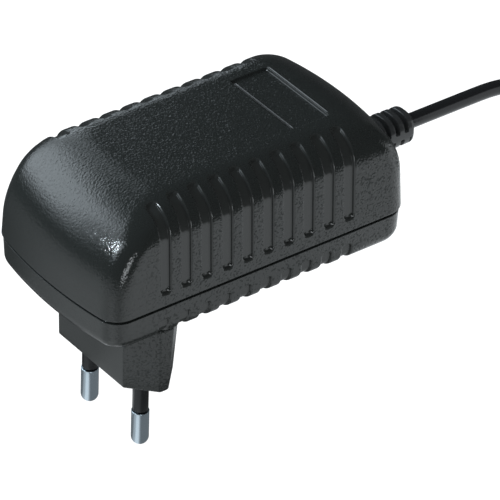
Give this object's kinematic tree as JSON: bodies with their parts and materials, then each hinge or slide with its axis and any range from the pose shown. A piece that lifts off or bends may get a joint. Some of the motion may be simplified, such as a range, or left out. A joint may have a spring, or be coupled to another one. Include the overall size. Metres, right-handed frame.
{
  "type": "plug-in led driver",
  "caption": "Black plug-in LED power supply: ribbed two-part case standing on a flat two-pin mains plug, with a ribbed strain relief and a cord to a low-voltage barrel plug.",
  "frame": {"origin": "centre of the plug face, the flat face that the two mains pins stand out of, midway between the pins", "axes": "+X along the case towards the strain relief and cord, +Y along the line of the two pins, +Z from the plug face up through the top of the case; the pins point along -Z"},
  "size_m": [0.2226, 0.0523, 0.0693],
  "materials": {
    "black_plastic": "fine pebbled grain, half gloss",
    "sleeve_plastic": "smooth gloss",
    "nickel": "nickel plated, satin",
    "soft_black": "smooth soft vinyl",
    "board_green": "solder mask",
    "dark_plastic": "moulded",
    "light_plastic": "moulded",
    "yellow_film": "smooth",
    "blue_coat": "dipped",
    "can_sleeve": "shrunk film",
    "fuse_ceramic": "matte",
    "ferrite": "matte",
    "copper": "enamelled wire",
    "sink_metal": "plain",
    "lead_cover": "insulated wire"
  },
  "bodies": {
    "root": {"case_top": "black_plastic", "case_bottom": "black_plastic", "pin_left": "nickel", "pin_right": "nickel", "sleeve_left": "sleeve_plastic", "sleeve_right": "sleeve_plastic", "circuit_board": "board_green", "fuse": "fuse_ceramic", "x_capacitor": "yellow_film", "choke_core": "ferrite", "choke_winding_left": "copper", "choke_winding_right": "copper", "bridge_rectifier": "dark_plastic", "bulk_capacitor": "can_sleeve", "primary_heatsink": "sink_metal", "switch_transistor": "dark_plastic", "transformer_core": "ferrite", "transformer_bobbin": "dark_plastic", "transformer_winding": "yellow_film", "y_capacitor": "blue_coat", "optocoupler": "light_plastic", "output_heatsink": "sink_metal", "output_diode": "dark_plastic", "output_capacitor_large": "can_sleeve", "output_capacitor_small": "can_sleeve", "output_inductor": "ferrite", "mains_lead_left": "lead_cover", "mains_lead_right": "lead_cover", "output_lead_plus": "lead_cover", "output_lead_minus": "lead_cover", "strain_relief": "soft_black", "cord": "soft_black", "cord_coil": "soft_black", "cord_tie": "soft_black", "cord_tail": "soft_black", "plug_body": "soft_black", "plug_barrel": "nickel", "plug_insulator": "dark_plastic", "plug_contact": "nickel"}
  },
  "joints": []
}
